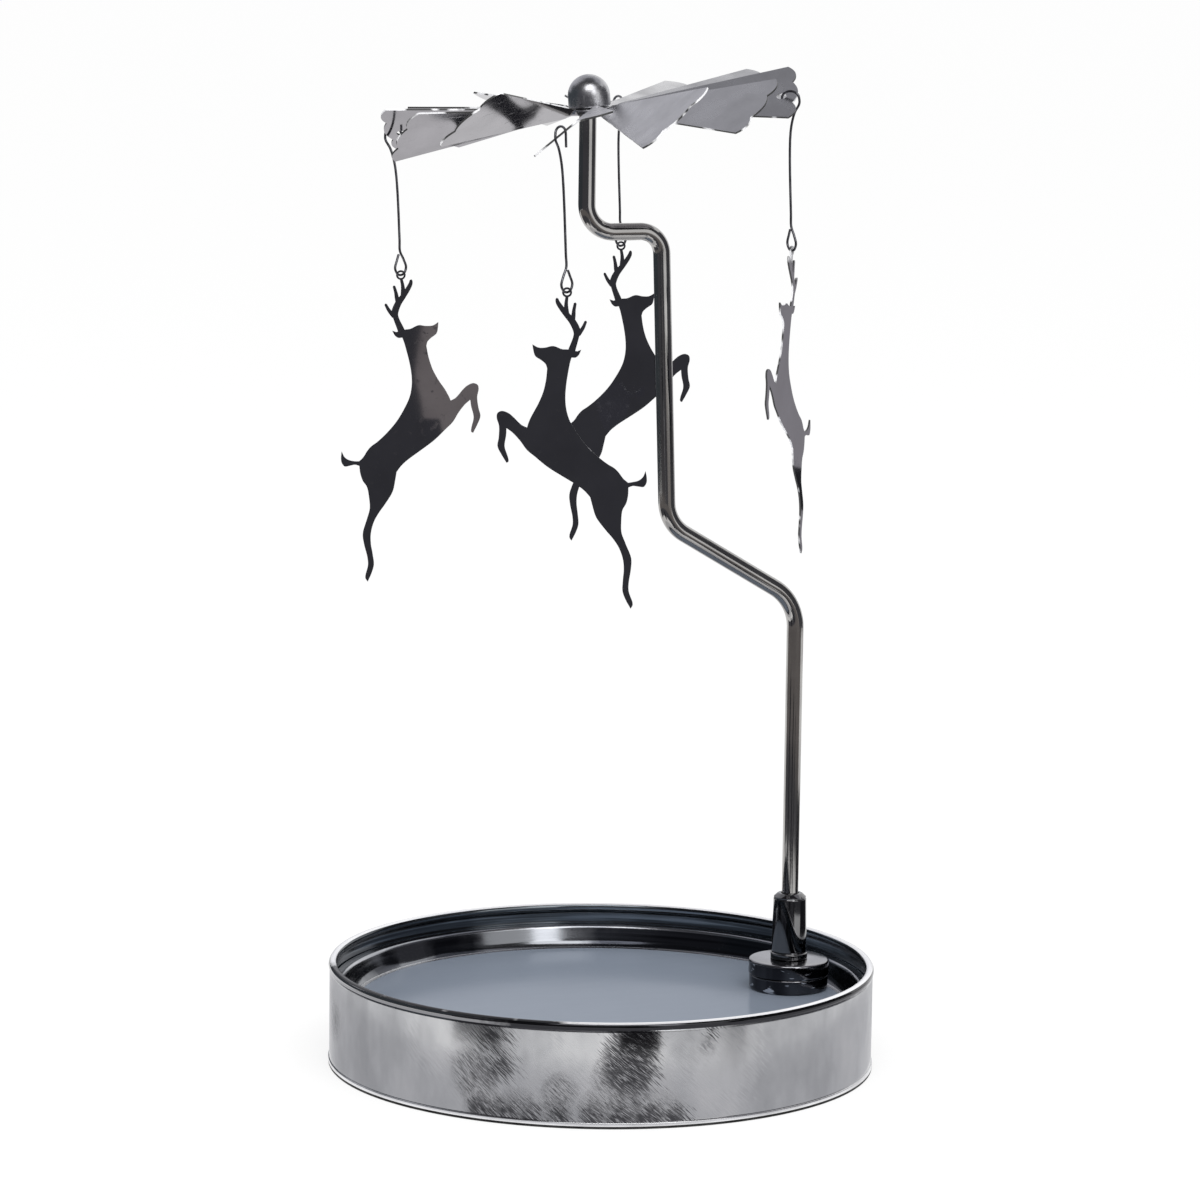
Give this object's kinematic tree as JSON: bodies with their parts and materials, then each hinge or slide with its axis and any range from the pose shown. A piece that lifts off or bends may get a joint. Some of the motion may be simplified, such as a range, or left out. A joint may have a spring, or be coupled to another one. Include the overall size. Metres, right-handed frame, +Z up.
{
  "type": "rotating candle holder",
  "caption": "Tealight holder with a round tray base, a bent rod on a round magnet foot and a pinwheel rotor that turns on a needle and carries hanging leaping reindeer.",
  "frame": {"origin": "on the table, at the middle of the round base", "axes": "+Z up along the rotor's spin axis direction; the bent rod lies in the XZ plane with its foot at +X"},
  "size_m": [0.09, 0.09, 0.1642],
  "materials": {
    "base_shell": "hazy nickel plate with fine rubbed scratches",
    "tray": "blue-grey mirror plate on the floor, dark on its drawn wall",
    "stand": "polished dark chrome",
    "needle": "ground steel",
    "hub": "satin nickel",
    "rotor": "mirror-plated thin sheet",
    "wire": "drawn wire",
    "figure": "mirror-plated thin sheet"
  },
  "bodies": {
    "base": {"base_skirt": "base_shell", "base_tray": "tray"},
    "stand": {"foot_magnet": "stand", "foot_disc": "stand", "rod_collar": "stand", "rod": "stand", "pivot_needle": "needle"},
    "rotor": {"hub_cap": "hub", "hub_washer": "hub", "rotor_sheet": "rotor"},
    "hook_a": {"hook_1": "wire"},
    "hook_b": {"hook_2": "wire"},
    "hook_c": {"hook_3": "wire"},
    "hook_d": {"hook_4": "wire"},
    "deer_a": {"reindeer_1": "figure"},
    "deer_b": {"reindeer_2": "figure"},
    "deer_c": {"reindeer_3": "figure"},
    "deer_d": {"reindeer_4": "figure"}
  },
  "joints": [
    {"name": "stand_lift", "type": "slide", "parent": "base", "child": "stand", "axis": [0, 0, 1], "range_m": [0, 0.03]},
    {"name": "rotor_spin", "type": "hinge", "parent": "stand", "child": "rotor", "pos_m": [-0.0043, 0, 0.1604], "axis": [0, 0, 1], "continuous": true},
    {"name": "hook_1_swing", "type": "hinge", "parent": "rotor", "child": "hook_a", "pos_m": [-0.01954, -0.02791, 0.15499], "axis": [-0.8776, 0.4793, 0], "range_deg": [-10, 20]},
    {"name": "hook_2_swing", "type": "hinge", "parent": "rotor", "child": "hook_b", "pos_m": [0.02382, -0.01572, 0.15951], "axis": [-0.4878, -0.8729, 0], "range_deg": [-10, 20]},
    {"name": "hook_3_swing", "type": "hinge", "parent": "rotor", "child": "hook_c", "pos_m": [0.01179, 0.02784, 0.15652], "axis": [0.8657, -0.5005, 0], "range_deg": [-10, 20]},
    {"name": "hook_4_swing", "type": "hinge", "parent": "rotor", "child": "hook_d", "pos_m": [-0.0315, 0.01564, 0.15239], "axis": [0.4984, 0.8669, 0], "range_deg": [-10, 20]},
    {"name": "reindeer_1_rock", "type": "hinge", "parent": "hook_a", "child": "deer_a", "pos_m": [-0.01855, -0.02831, 0.13042], "axis": [0.3697, 0.9291, 0], "range_deg": [-20, 20]},
    {"name": "reindeer_2_rock", "type": "hinge", "parent": "hook_b", "child": "deer_b", "pos_m": [0.02481, -0.01611, 0.13513], "axis": [-0.7431, 0.6691, 0], "range_deg": [-20, 20]},
    {"name": "reindeer_3_rock", "type": "hinge", "parent": "hook_c", "child": "deer_c", "pos_m": [0.01276, 0.02745, 0.13265], "axis": [-0.3746, -0.9272, 0], "range_deg": [-20, 20]},
    {"name": "reindeer_4_rock", "type": "hinge", "parent": "hook_d", "child": "deer_d", "pos_m": [-0.03058, 0.01527, 0.12962], "axis": [-0.3746, -0.9272, 0], "range_deg": [-20, 20]}
  ]
}
